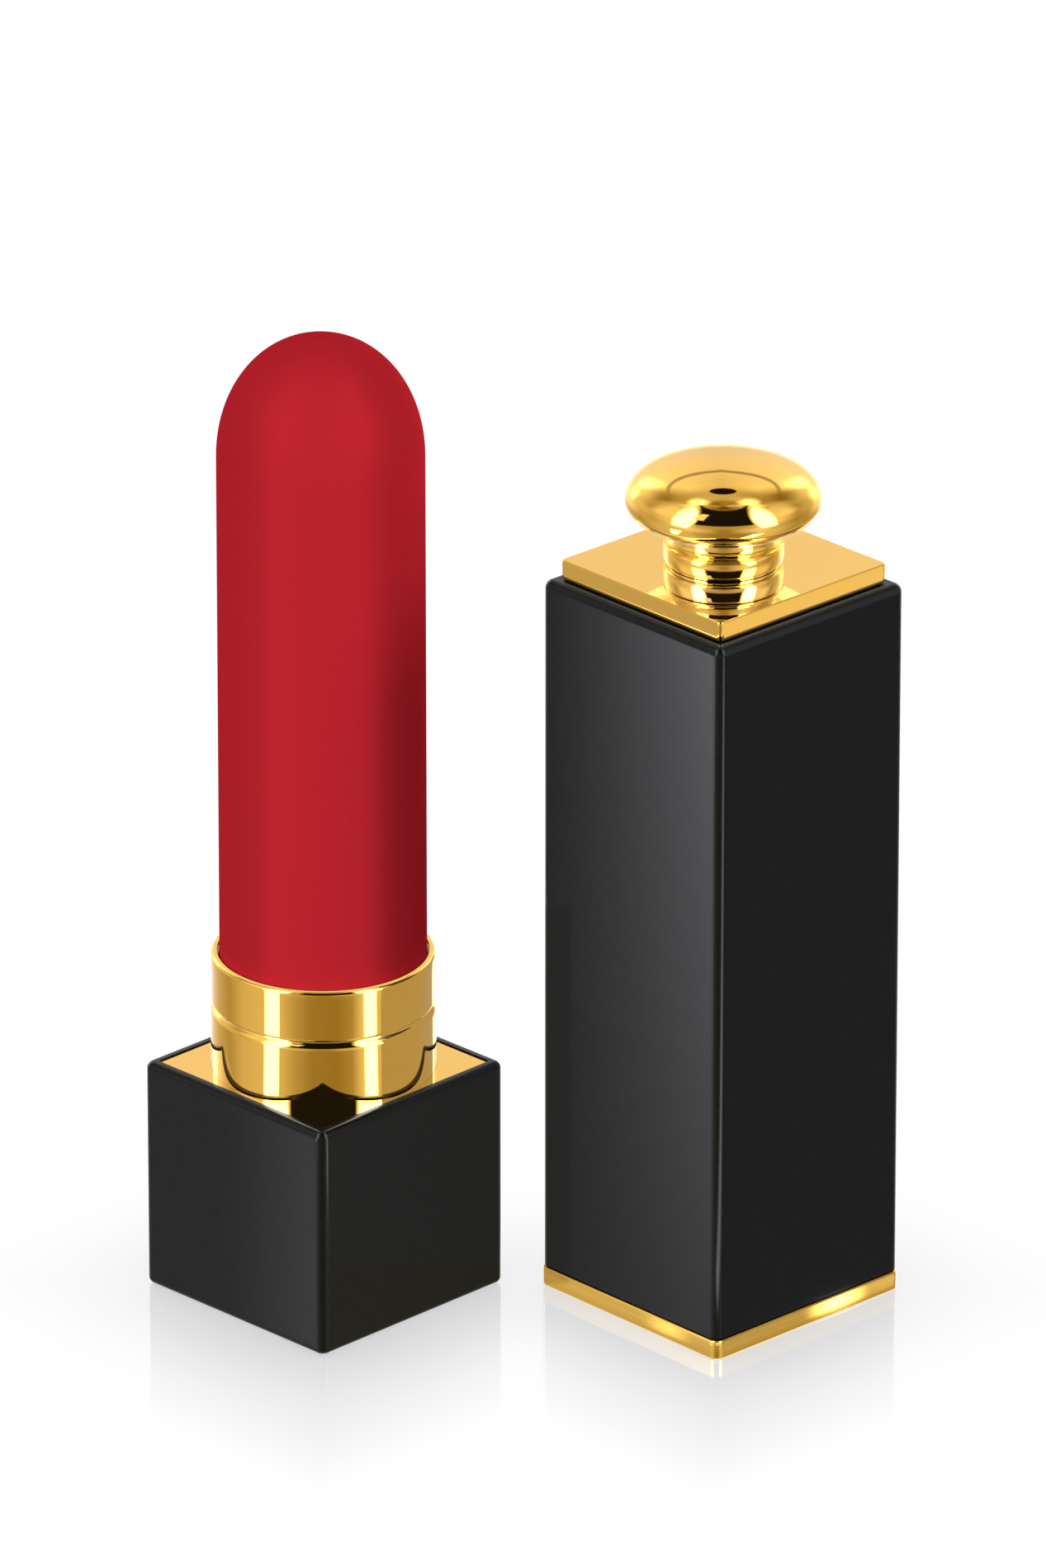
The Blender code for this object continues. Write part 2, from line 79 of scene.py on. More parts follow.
BASE_HALF = half_width("base_shell")
BASE_TOP = box_mm("base_shell")[1].z
PLATE_HALF = half_width("top_plate")
PLATE_BOTTOM = box_mm("top_plate")[0].z
COLLAR_RADIUS = half_width("collar_shell")
COLLAR_BOTTOM = box_mm("collar_shell")[0].z
COLLAR_TOP = box_mm("collar_shell")[1].z
STICK_RADIUS = half_width("lipstick")
STICK_BOTTOM = box_mm("lipstick")[0].z
STICK_TOP = box_mm("lipstick")[1].z
CAP_HALF = 10.45    # the turned cap's boxes don't give its own widths
RIM_HALF = 10.52
RIM_TOP = 1.64
SHELL_TOP = box_mm("cap_shell")[1].z
TOP_PLATE_BOTTOM = box_mm("cap_top_plate")[0].z
TOP_PLATE_TOP = box_mm("cap_top_plate")[1].z
NECK_BOTTOM = box_mm("neck_ring")[0].z
NECK_TOP = box_mm("neck_ring")[1].z
KNOB_BOTTOM = knob_low.z
KNOB_TOP = knob_high.z
KNOB_RADIUS = (knob_high.x - knob_low.x) / 2


# ---- Mesh helpers --------------------------------------------------------------------------------

def arc(centre_r, centre_z, radius, start, end, steps):
    """Points along an arc in the (r, z) plane, angles in degrees from +r towards +z."""
    points = []
    for step in range(steps + 1):
        angle = math.radians(start + (end - start) * step / steps)
        points.append((centre_r + radius * math.cos(angle), centre_z + radius * math.sin(angle)))
    return points


def link_mesh(name, builder, material):
    """Turn a bmesh into an object in the scene."""
    mesh = bpy.data.meshes.new(name)
    builder.to_mesh(mesh)
    builder.free()
    mesh.materials.append(material)
    item = bpy.data.objects.new(name, mesh)
    bpy.context.scene.collection.objects.link(item)
    return item


def add_piece(name, builder, material, body, nodes, on_cap=False):
    """Make a bmesh in millimetres into a finished piece on its body."""
    bmesh.ops.recalc_face_normals(builder, faces=builder.faces)
    bmesh.ops.scale(builder, vec=(MM, MM, MM), verts=builder.verts)
    if on_cap:
        place = Matrix.Translation(CAP_AXIS * MM) @ Matrix.Rotation(CAP_TURN, 4, "Z")
        bmesh.ops.transform(builder, matrix=place, verts=builder.verts)
    piece = link_mesh(name, builder, material)
    piece.data.shade_smooth()
    piece.data.set_sharp_from_angle(angle=CREASE)
    weighted = piece.modifiers.new("even_shading", "WEIGHTED_NORMAL")
    weighted.weight = 100
    weighted.keep_sharp = True
    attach(piece, body)
    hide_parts(*nodes)
    return piece


def add_circle(builder, radius, z, steps=ROUND_STEPS):
    """A level ring of vertices round the z axis."""
    turn = 2 * math.pi / steps
    return [builder.verts.new((radius * math.cos(turn * k), radius * math.sin(turn * k), z))
            for k in range(steps)]


def bridge(builder, first, second):
    """Join two loops of equal length with quads."""
    count = len(first)
    for k in range(count):
        after = (k + 1) % count
        builder.faces.new((first[k], first[after], second[after], second[k]))


def turned(profile):
    """Revolve a closed profile, or one that starts and ends on the axis."""
    builder = bmesh.new()
    on_axis = profile[0][0] == 0 and profile[-1][0] == 0
    rings = []
    for radius, z in profile:
        if radius == 0:
            rings.append([builder.verts.new((0, 0, z))])
        else:
            rings.append(add_circle(builder, radius, z))
    pairs = list(zip(rings, rings[1:]))
    if not on_axis:
        pairs.append((rings[-1], rings[0]))
    for first, second in pairs:
        for k in range(ROUND_STEPS):
            after = (k + 1) % ROUND_STEPS
            corners = [first[k % len(first)], first[after % len(first)],
                       second[after % len(second)], second[k % len(second)]]
            builder.faces.new(list(dict.fromkeys(corners)))
    return builder


def square_ring(half, radius, z):
    """A level rounded square, anticlockwise seen from above."""
    points = []
    reach = (half - radius) * math.sqrt(2)
    for corner in range(4):
        start = corner * math.pi / 2
        middle = start + math.pi / 4
        centre_x, centre_y = reach * math.cos(middle), reach * math.sin(middle)
        for step in range(CORNER_STEPS + 1):
            angle = start + step * (math.pi / 2) / CORNER_STEPS
            points.append((centre_x + radius * math.cos(angle), centre_y + radius * math.sin(angle), z))
    return points


def square_loft(sections, closed=False):
    """Skin rounded-square sections; open ends are filled flat."""
    builder = bmesh.new()
    loops = [[builder.verts.new(point) for point in square_ring(*section)] for section in sections]
    pairs = list(zip(loops, loops[1:]))
    if closed:
        pairs.append((loops[-1], loops[0]))
    else:
        builder.faces.new(loops[0])
        builder.faces.new(loops[-1])
    for lower, upper in pairs:
        bridge(builder, lower, upper)
    return builder


def rounded_edge(half, corner, size, z_wide, z_end, steps=8):
    """Sections of a quarter-round edge, from the widest one to the end face."""
    sections = []
    for step in range(steps + 1):
        angle = step * (math.pi / 2) / steps
        inset = size * (1 - math.cos(angle))
        sections.append((half - inset, corner - inset, z_wide + (z_end - z_wide) * math.sin(angle)))
    return sections


def plate_with_hole(sections, hole):
    """A square plate, listed from its lower to its upper face, with a round hole through it."""
    builder = bmesh.new()
    loops = [[builder.verts.new(point) for point in square_ring(*section)] for section in sections]
    for lower, upper in zip(loops, loops[1:]):
        bridge(builder, lower, upper)
    holes = [add_circle(builder, hole, z) for z in (sections[0][2], sections[-1][2])]
    for k in range(ROUND_STEPS):
        after = (k + 1) % ROUND_STEPS
        builder.faces.new((holes[0][k], holes[1][k], holes[1][after], holes[0][after]))
    for face in ((loops[0], holes[0]), (loops[-1], holes[1])):
        edges = [builder.edges.get((loop[k], loop[(k + 1) % len(loop)])) for loop in face
                 for k in range(len(loop))]
        bmesh.ops.triangle_fill(builder, edges=edges, use_beauty=True)
    return builder


# ---- Node shorthand ------------------------------------------------------------------------------

DARK_RED_LIFT = 0.2
DARK_BLUE_LOSS = 0.9


class NodeMath:
    """Short spellings for maths and shaders in a node tree."""

    def __init__(self, tree):
        self.tree = tree

    def output(self, kind, name):
        """One output of a new node."""
        return self.tree.nodes.new("ShaderNode" + kind).outputs[name]

    def put(self, socket, value):
        if isinstance(value, bpy.types.NodeSocket):
            self.tree.links.new(value, socket)
        else:
            socket.default_value = value

    def math(self, operation, *values):
        node = self.tree.nodes.new("ShaderNodeMath")
        node.operation = operation
        for socket, value in zip(node.inputs, values):
            self.put(socket, value)
        return node.outputs[0]

    def product(self, first, *others):
        for other in others:
            first = self.math("MULTIPLY", first, other)
        return first

    def without(self, value):
        """One minus the value."""
        return self.math("SUBTRACT", 1.0, value)

    def choose(self, test, chosen, otherwise):
        return self.math("ADD", self.product(otherwise, self.without(test)), self.product(chosen, test))

    def dot(self, vector, direction):
        node = self.tree.nodes.new("ShaderNodeVectorMath")
        node.operation = "DOT_PRODUCT"
        self.put(node.inputs[0], vector)
        node.inputs[1].default_value = direction
        return node.outputs["Value"]

    def azimuth(self, vector):
        """Degrees from the camera's side to its right."""
        turn = self.math("ARCTAN2", self.dot(vector, RIGHT), self.dot(vector, TOWARDS))
        return self.math("MULTIPLY", turn, math.degrees(1))

    def step(self, value, start, end):
        node = self.tree.nodes.new("ShaderNodeMapRange")
        node.interpolation_type = "SMOOTHSTEP"
        self.put(node.inputs["Value"], value)
        node.inputs["From Min"].default_value = start
        node.inputs["From Max"].default_value = end
        return node.outputs["Result"]

    def band(self, value, low, high, soft):
        rise = self.step(value, low - soft, low + soft)
        fall = self.step(value, high - soft, high + soft)
        return self.product(rise, self.without(fall))

    def ramp(self, value, stops, low, high):
        """A colour ramp over low to high through (value, brightness) stops, warmer where darker."""
        node = self.tree.nodes.new("ShaderNodeValToRGB")
        span = high - low
        self.put(node.inputs["Fac"], self.math("DIVIDE", self.math("SUBTRACT", value, low), span))
        elements = node.color_ramp.elements
        while len(elements) > 1:
            elements.remove(elements[-1])
        for index, (place, level) in enumerate(stops):
            warmth = max(0, 1 - level)
            red = level ** (1 - DARK_RED_LIFT * warmth)
            blue = level ** (1 + DARK_BLUE_LOSS * warmth)
            position = (place - low) / span
            element = elements[0] if index == 0 else elements.new(position)
            element.position = position
            element.color = (red, level, blue, 1)
        return node.outputs["Color"]

    def mix(self, factor, first, second):
        """A mix of two colours."""
        node = self.tree.nodes.new("ShaderNodeMix")
        node.data_type = "RGBA"
        colour_a, colour_b = node.inputs[6], node.inputs[7]
        self.put(node.inputs[0], factor)
        self.put(colour_a, first)
        self.put(colour_b, second)
        return node.outputs[2]

    def emission(self, strength):
        node = self.tree.nodes.new("ShaderNodeEmission")
        self.put(node.inputs["Strength"], strength)
        return node.outputs["Emission"]

    def blend(self, factor, first, second):
        """A mix of two shaders."""
        node = self.tree.nodes.new("ShaderNodeMixShader")
        self.put(node.inputs["Fac"], factor)
        self.put(node.inputs[1], first)
        self.put(node.inputs[2], second)
        return node.outputs["Shader"]

    def one_sided(self, shader):
        """The shader from the front, and nothing from behind."""
        return self.blend(self.output("NewGeometry", "Backfacing"), shader,
                          self.output("BsdfTransparent", "BSDF"))

    def finish(self, shader, kind="Material"):
        output = self.tree.nodes.new("ShaderNodeOutput" + kind)
        self.tree.links.new(shader, output.inputs["Surface"])


def empty_material(name):
    """A material without nodes, and the shorthand for its tree."""
    material = bpy.data.materials.new(name)
    material.use_nodes = True
    material.node_tree.nodes.clear()
    return material, NodeMath(material.node_tree)


# ---- Materials -----------------------------------------------------------------------------------

NOISE_LOW = 0.3
NOISE_HIGH = 0.7


def surface(name, colour, roughness, metallic=0.0, colour_spread=0.04, roughness_spread=0.03,
            grain=900.0, stretch=(1, 1, 1), bump=0.02, bump_depth=0.00002, repeated=None, **sockets):
    """A Principled material whose colour, roughness and fine relief vary with a noise grain.

    `repeated` is its colour where it shows in another reflection.
    """
    material = bpy.data.materials.new(name)
    material.use_nodes = True
    tree = material.node_tree
    node = NodeMath(tree)
    shader = tree.nodes["Principled BSDF"]
    shader.inputs["Metallic"].default_value = metallic
    for socket, value in sockets.items():
        shader.inputs[socket.replace("_", " ")].default_value = value
    mapping = tree.nodes.new("ShaderNodeMapping")
    mapping.inputs["Scale"].default_value = stretch
    noise = tree.nodes.new("ShaderNodeTexNoise")
    noise.inputs["Scale"].default_value = grain
    noise.inputs["Detail"].default_value = 4.0
    node.put(mapping.inputs["Vector"], node.output("TexCoord", "Object"))
    node.put(noise.inputs["Vector"], mapping.outputs["Vector"])
    pattern = noise.outputs["Fac"]

    tint = tree.nodes.new("ShaderNodeValToRGB")
    shades = ((NOISE_LOW, 1 - colour_spread), (NOISE_HIGH, 1 + colour_spread))
    for stop, (position, strength) in zip(tint.color_ramp.elements, shades):
        stop.position = position
        stop.color = [min(1, part * strength) for part in colour] + [1]
    node.put(tint.inputs["Fac"], pattern)
    shown = tint.outputs["Color"]
    if repeated:
        shown = node.mix(node.output("LightPath", "Is Glossy Ray"), shown, repeated)
    node.put(shader.inputs["Base Color"], shown)

    gloss = tree.nodes.new("ShaderNodeMapRange")
    gloss.inputs["From Min"].default_value = NOISE_LOW
    gloss.inputs["From Max"].default_value = NOISE_HIGH
    gloss.inputs["To Min"].default_value = max(0, roughness - roughness_spread)
    gloss.inputs["To Max"].default_value = roughness + roughness_spread
    node.put(gloss.inputs["Value"], pattern)
    node.put(shader.inputs["Roughness"], gloss.outputs["Result"])

    relief = tree.nodes.new("ShaderNodeBump")
    relief.inputs["Strength"].default_value = bump
    relief.inputs["Distance"].default_value = bump_depth
    node.put(relief.inputs["Height"], pattern)
    node.put(shader.inputs["Normal"], relief.outputs["Normal"])
    return material


mirror_gold = surface("mirror_gold", (1.0, 0.58, 0.115), 0.035, metallic=1.0, colour_spread=0.015,
                      roughness_spread=0.015, grain=260.0, bump=0.25, bump_depth=0.00001,
                      repeated=(0.97, 0.90, 0.72, 1))
brushed_gold = surface("brushed_gold", (0.98, 0.57, 0.11), 0.26, metallic=1.0, colour_spread=0.10,
                       roughness_spread=0.08, grain=1100.0, stretch=(0.04, 0.04, 3.0), bump=0.5,
                       bump_depth=0.00002)
black_lacquer = surface("black_lacquer", (0.0034, 0.0034, 0.0034), 0.2, colour_spread=0.2,
                        roughness_spread=0.03, grain=1500.0, bump=0.05, bump_depth=0.00001,
                        Specular_IOR_Level=0.25, Specular_Tint=(0.90, 0.93, 1.0, 1.0))
red_stick = surface("red_stick", (0.53, 0.019, 0.029), 0.45, metallic=0.08, colour_spread=0.02,
                    roughness_spread=0.03, grain=2600.0, bump=0.15, bump_depth=0.00001,
                    Specular_IOR_Level=0.0, Specular_Tint=(1.0, 0.15, 0.2, 1.0))
white_plastic = surface("white_plastic", (0.78, 0.78, 0.75), 0.42, grain=1200.0)
black_plastic = surface("black_plastic", (0.02, 0.02, 0.021), 0.45, grain=1200.0, colour_spread=0.15)
steel = surface("steel", (0.58, 0.58, 0.59), 0.3, metallic=1.0, grain=1500.0, stretch=(0.1, 2.0, 2.0))
label_film = surface("label_film", (0.84, 0.84, 0.82), 0.6, grain=3000.0, bump=0.2)


# ---- Base ----------------------------------------------------------------------------------------

def make_base_casing():
    corner, edge = 0.85, 0.62
    recess, recess_corner, recess_depth = half_width("shade_label") + 0.05, 0.5, 0.15
    opening, opening_corner, floor_z = PLATE_HALF + 0.04, 0.3, 1.1
    sections = [(recess, recess_corner, recess_depth), (recess, recess_corner, 0)]
    sections += rounded_edge(BASE_HALF, corner, edge, edge, 0)[::-1]
    sections += rounded_edge(BASE_HALF, corner, edge, BASE_TOP - edge, BASE_TOP)
    sections += [(opening, opening_corner, BASE_TOP), (opening, opening_corner, floor_z)]
    add_piece("base_casing", square_loft(sections), black_lacquer, "base", ["base_shell"])


def make_inset_plate():
    bevel, recess, corner, hole_gap = 0.04, 0.12, 0.3, 0.012
    top = BASE_TOP - recess
    sections = [(PLATE_HALF, corner, PLATE_BOTTOM), (PLATE_HALF, corner, top - bevel)]
    sections.append((PLATE_HALF - bevel, corner - bevel, top))
    builder = plate_with_hole(sections, COLLAR_RADIUS + hole_gap)
    add_piece("inset_plate", builder, mirror_gold, "base", ["top_plate"])


def make_label():
    low, high = box_mm("shade_label")
    half, corner, bevel = half_width("shade_label"), 0.5, 0.02
    sections = [(half - bevel, corner - bevel, low.z), (half, corner, low.z + bevel)]
    sections.append((half, corner, high.z))
    add_piece("blank_label", square_loft(sections), label_film, "base", ["shade_label"])


# ---- Collar --------------------------------------------------------------------------------------

def make_collar():
    """Straight wall with a rolled rim; a groove whose lower lip is a small round shoulder."""
    groove_z, groove_depth, groove_half = 25.5, 0.32, 0.05
    upper = COLLAR_RADIUS - 0.05
    rim_inner, rim_round = STICK_RADIUS + 0.17, 0.3
    lip_width, lip_drop = 0.03, 0.06
    shoulder, shoulder_angle = 0.70, 55
    roll, roll_angle = 0.55, 50
    straight_low, straight_high = 1.2, 1.0
    shoulder_z = groove_z - groove_half - shoulder * math.sin(math.radians(shoulder_angle))
    roll_z = groove_z + groove_half + roll * math.sin(math.radians(roll_angle))
    profile = [(rim_inner, COLLAR_BOTTOM), (COLLAR_RADIUS, COLLAR_BOTTOM)]
    profile.append((COLLAR_RADIUS, BASE_TOP + straight_low))
    profile += arc(COLLAR_RADIUS - shoulder, shoulder_z, shoulder, 0, shoulder_angle, 10)
    profile.append((COLLAR_RADIUS - groove_depth, groove_z))
    profile += arc(upper - roll, roll_z, roll, -roll_angle, 0, 8)
    profile.append((upper, COLLAR_TOP - rim_round - straight_high))
    profile += arc(upper - rim_round, COLLAR_TOP - rim_round, rim_round, 0, 85, 8)
    profile += [(rim_inner + lip_width, COLLAR_TOP - 0.01), (rim_inner, COLLAR_TOP - lip_drop)]
    add_piece("collar", turned(profile), mirror_gold, "collar", ["collar_shell"])


# ---- Stick ---------------------------------------------------------------------------------------

def make_stick():
    shoulder_z = 73.4
    foot_inset, foot_bevel, taper = 0.5, 0.1, 0.04
    bore, bore_top = 3.0, STICK_BOTTOM + 14
    step_z = box_mm("carrier")[1].z + 0.05
    foot = STICK_RADIUS - foot_inset
    profile = [(0, bore_top), (bore, bore_top), (bore, STICK_BOTTOM), (foot, STICK_BOTTOM), (foot, step_z)]
    profile += [(STICK_RADIUS - foot_bevel, step_z), (STICK_RADIUS, step_z + foot_bevel)]
    steps = 40
    tall = STICK_TOP - shoulder_z
    squareness = 2 / 2.06
    for step in range(steps):
        angle = step * (math.pi / 2) / steps
        radius = (STICK_RADIUS - taper) * math.cos(angle) ** squareness
        profile.append((radius, shoulder_z + tall * math.sin(angle) ** squareness))
    profile.append((0, STICK_TOP))
    stick = add_piece("stick", turned(profile), red_stick, "stick", ["lipstick"])
    stick.visible_glossy = False


# ---- Cap -----------------------------------------------------------------------------------------

def make_cap_casing():
    corner, edge = 0.85, 0.72
    bore, bore_corner, ceiling = 9.7, 0.3, 61.45
    bottom, bevel = RIM_TOP + 0.05, 0.1
    sections = [(bore, bore_corner, ceiling), (bore, bore_corner, bottom)]
    sections += [(CAP_HALF - bevel, corner - bevel, bottom), (CAP_HALF, corner, bottom + bevel)]
    sections += rounded_edge(CAP_HALF, corner, edge, SHELL_TOP - edge, SHELL_TOP)
    builder = plate_with_hole(sections, SCREW_HOLE)
    add_piece("cap_casing", builder, black_lacquer, "cap", ["cap_shell"], on_cap=True)


def make_cap_rim():
    bevel, corner = 0.14, 0.85
    skirt_outer, skirt_inner, skirt_top = 9.65, 9.4, 8.0
    outer_corner, inner_corner = 0.3, 0.25
    sections = [(skirt_inner, inner_corner, 0), (RIM_HALF - bevel, corner - bevel, 0)]
    sections += rounded_edge(RIM_HALF, corner, bevel, bevel, 0, 3)[::-1][1:]
    sections += rounded_edge(RIM_HALF, corner, bevel, RIM_TOP - bevel, RIM_TOP, 3)
    sections += [(skirt_outer, outer_corner, RIM_TOP), (skirt_outer, outer_corner, skirt_top)]
    sections.append((skirt_inner, inner_corner, skirt_top))
    add_piece("rim_band", square_loft(sections, closed=True), brushed_gold, "cap", ["cap_rim"],
              on_cap=True)


def make_cap_plate():
    half, corner, bevel, under = 9.35, 0.4, 0.12, 0.05
    sections = rounded_edge(half, corner, under, TOP_PLATE_BOTTOM + under, TOP_PLATE_BOTTOM, 2)[::-1]
    sections += rounded_edge(half, corner, bevel, TOP_PLATE_TOP - bevel, TOP_PLATE_TOP, 4)
    builder = plate_with_hole(sections, SCREW_HOLE)
    add_piece("cap_plate", builder, mirror_gold, "cap", ["cap_top_plate"], on_cap=True)


def make_neck():
    """Nearly straight bead with rounded edges, on a short foot."""
    radius, edge, straight = 4.92, 0.42, 0.25
    foot, foot_top = 4.5, NECK_BOTTOM + 0.16
    low_edge = foot_top + edge
    profile = [(SCREW_HOLE, NECK_BOTTOM), (foot, NECK_BOTTOM), (foot, foot_top)]
    profile += arc(radius - edge, low_edge, edge, -80, -20, 8)
    profile.append((radius, low_edge + straight))
    profile += arc(radius - edge, NECK_TOP - edge, edge, 20, 90, 8)
    profile.append((SCREW_HOLE, NECK_TOP))
    add_piece("neck_bead", turned(profile), mirror_gold, "cap", ["neck_ring"], on_cap=True)


def make_knob():
    """Flattened bulb on a waisted neck."""
    middle, under = 70.0, 2.95
    foot, cove, cove_out, cove_up = 4.78, 0.72, 0.24, 0.76
    screw_top = 69.5
    profile = [(0, screw_top), (SCREW_HOLE, screw_top), (SCREW_HOLE, KNOB_BOTTOM), (foot, KNOB_BOTTOM)]
    profile += arc(foot + cove_out, KNOB_BOTTOM + cove_up, cove, 262, 195, 10)
    steps = 26
    start = math.radians(-58)
    for step in range(steps):
        angle = start * (1 - step / steps)
        profile.append((KNOB_RADIUS * math.cos(angle), middle + under * math.sin(angle)))
    squareness = 2 / 2.25
    for step in range(steps):
        angle = step * (math.pi / 2) / steps
        radius = KNOB_RADIUS * math.cos(angle) ** squareness
        profile.append((radius, middle + (KNOB_TOP - middle) * math.sin(angle) ** squareness))
    profile.append((0, KNOB_TOP))
    add_piece("knob_bulb", turned(profile), mirror_gold, "cap", ["knob"], on_cap=True)


# ---- Hidden pieces that keep their CAD shape -----------------------------------------------------

def paint(node, material):
    """Give a carried-over CAD node its finish."""
    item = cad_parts[node]
    item.data.materials.clear()
    item.data.materials.append(material)


def paint_hidden_pieces():
    for node in ("mechanism_core", "spindle", "guide_sleeve", "carrier"):
        paint(node, white_plastic)
    for node in ("glide_washer", "cap_liner", "plate_pad"):
        paint(node, black_plastic)
    for node in ("base_weight", "knob_screw", "knob_washer"):
        paint(node, steel)


# ---- Studio --------------------------------------------------------------------------------------

CAMERA_PITCH = math.radians(23.03)
CAMERA_DISTANCE = 1.342
CAMERA_AIM = Vector((-0.0002, 0.0233, 0.0376))
CAMERA_LENS = 373.2
LIGHT_DISTANCE = 1.0
FLOOR_WHITE = 1.01
FLOOR_DROP = 0.02 * MM    # keeps the table just clear of the feet
GLOW_DROP = 0.2 * MM
POLISH = 0.26
POLISH_REACH = 0.019
TABLE_SHADE = 0.22
SHADE_REACH = 0.012
STRIP_GLOW = 6.0


def make_camera():
    data = bpy.data.cameras.new("camera")
    data.lens = CAMERA_LENS
    data.sensor_width = 36
    data.clip_start = 0.05
    data.clip_end = 20
    camera = bpy.data.objects.new("camera", data)
    back = TOWARDS * math.cos(CAMERA_PITCH) + Vector((0, 0, math.sin(CAMERA_PITCH)))
    camera.location = CAMERA_AIM + back * CAMERA_DISTANCE
    camera.rotation_euler = (-back).to_track_quat("-Z", "Y").to_euler()
    bpy.context.scene.collection.objects.link(camera)
    bpy.context.scene.camera = camera


def polish_near_feet(node, place):
    """One under the two feet, falling to nothing with the distance from them."""
    polish = 0.0
    for axis, turn, half in ((Vector((0, 0, 0)), 0, BASE_HALF), (CAP_AXIS, CAP_TURN, RIM_HALF)):
        face_x = Vector((math.cos(turn), math.sin(turn), 0))
        face_y = Vector((-math.sin(turn), math.cos(turn), 0))
        reach = []
        for face in (face_x, face_y):
            offset = node.math("SUBTRACT", node.dot(place, face), axis.dot(face) * MM)
            reach.append(node.math("ABSOLUTE", offset))
        gap = node.math("SUBTRACT", node.math("MAXIMUM", *reach), half * MM)
        near = node.without(node.math("DIVIDE", gap, POLISH_REACH))
        polish = node.math("MAXIMUM", polish, node.math("MINIMUM", near, 1.0))
    return polish


def make_floor():
    """White table; its polish shows only close to the two feet, as in a retouched product picture."""
    material, node = empty_material("white_table")
    builder = bmesh.new()
    bmesh.ops.create_grid(builder, x_segments=1, y_segments=1, size=4)
    floor = link_mesh("floor", builder, material)
    floor.location.z = -FLOOR_DROP
    floor.visible_glossy = False
    floor.visible_diffuse = False
    floor.visible_shadow = False

    contact = node.tree.nodes.new("ShaderNodeAmbientOcclusion")
    contact.inputs["Distance"].default_value = SHADE_REACH
    contact.samples = 8
    open_sky = node.product(contact.outputs["AO"], TABLE_SHADE)
    white = node.emission(node.math("ADD", open_sky, FLOOR_WHITE - TABLE_SHADE))
    polish = polish_near_feet(node, node.output("TexCoord", "Object"))
    mirror = node.tree.nodes.new("ShaderNodeBsdfGlossy")
    mirror.inputs["Roughness"].default_value = 0.06
    table = node.blend(node.product(polish, POLISH), white, mirror.outputs["BSDF"])
    node.finish(node.one_sided(table))


def make_table_glow():
    """The two strips mirrored in the table round the base; only polished surfaces see them."""
    inner, outer, steps = 42 * MM, 190 * MM, 72
    left, right, soft = (-58, -43), (40.5, 53), 1.2
    material, node = empty_material("table_glow")
    builder = bmesh.new()
    bridge(builder, add_circle(builder, inner, 0, steps), add_circle(builder, outer, 0, steps))
    glow = link_mesh("table_glow", builder, material)
    glow.location.z = -GLOW_DROP
    only_mirrored(glow)

    azimuth = node.azimuth(node.output("TexCoord", "Object"))
    strips = node.math("MAXIMUM", node.band(azimuth, *left, soft), node.band(azimuth, *right, soft))
    node.finish(node.blend(strips, node.output("BsdfTransparent", "BSDF"), node.emission(STRIP_GLOW)))


# Azimuth from the camera to its right, elevation, size and power of each square soft light.
LIGHTS = {
    "key": (-46, 10, 0.25, 4.2),
    "fill": (74, 12, 0.4, 3.8),
    "top": (180, 75, 1.2, 0.3),
    "back": (180, 15, 0.5, 4.0),
    "below": (0, -90, 0.5, 3.0),
}


def add_light(name, azimuth, elevation, size, power):
    data = bpy.data.lights.new(name, "AREA")
    data.size = size
    data.energy = power
    light = bpy.data.objects.new(name, data)
    turn, rise = math.radians(azimuth), math.radians(elevation)
    level = TOWARDS * math.cos(turn) + RIGHT * math.sin(turn)
    direction = level * math.cos(rise) + Vector((0, 0, math.sin(rise)))
    light.location = CAMERA_AIM + direction * LIGHT_DISTANCE
    light.rotation_euler = (-direction).to_track_quat("-Z", "Y").to_euler()
    light.visible_glossy = False
    light.visible_camera = False
    bpy.context.scene.collection.objects.link(light)


